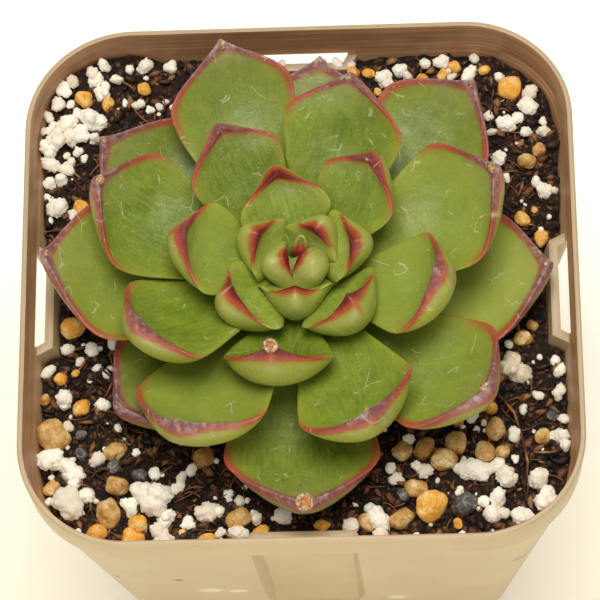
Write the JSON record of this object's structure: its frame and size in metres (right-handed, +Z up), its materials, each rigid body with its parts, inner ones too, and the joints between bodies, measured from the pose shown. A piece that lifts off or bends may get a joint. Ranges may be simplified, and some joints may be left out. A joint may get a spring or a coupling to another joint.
{
  "type": "potted echeveria",
  "caption": "Echeveria rosette of thick cupped green leaves with red edges, growing in gritty soil in a square tapered nursery pot with a rim band and side slots.",
  "frame": {"origin": "middle of the pot's foot, on the surface it stands on", "axes": "+Z up; the pot's sides lie square to X and Y, and -Y is the side nearest the camera"},
  "size_m": [0.09, 0.09, 0.0903],
  "materials": {
    "pot_plastic": "satin",
    "soil_mix": "matte",
    "perlite": "matte",
    "golden_grit": "matte",
    "tan_pebble": "matte",
    "grey_slate": "matte",
    "stem_skin": "matte",
    "heart_skin": "satin",
    "inner_leaf": "satin",
    "middle_leaf": "satin",
    "outer_leaf": "satin"
  },
  "bodies": {
    "root": {"pot": "pot_plastic", "soil": "soil_mix", "stem": "stem_skin", "heart": "heart_skin", "leaf_03": "inner_leaf", "leaf_04": "inner_leaf", "leaf_05": "inner_leaf", "leaf_06": "inner_leaf", "leaf_07": "inner_leaf", "leaf_08": "inner_leaf", "leaf_09": "inner_leaf", "leaf_10": "middle_leaf", "leaf_11": "middle_leaf", "leaf_12": "middle_leaf", "leaf_13": "middle_leaf", "leaf_14": "middle_leaf", "leaf_15": "middle_leaf", "leaf_16": "middle_leaf", "leaf_17": "middle_leaf", "leaf_18": "middle_leaf", "leaf_19": "middle_leaf", "leaf_20": "outer_leaf", "leaf_21": "outer_leaf", "leaf_22": "outer_leaf", "leaf_23": "outer_leaf", "leaf_24": "outer_leaf", "leaf_25": "outer_leaf", "leaf_26": "outer_leaf", "leaf_27": "outer_leaf", "leaf_28": "outer_leaf", "leaf_29": "outer_leaf"}
  },
  "joints": []
}
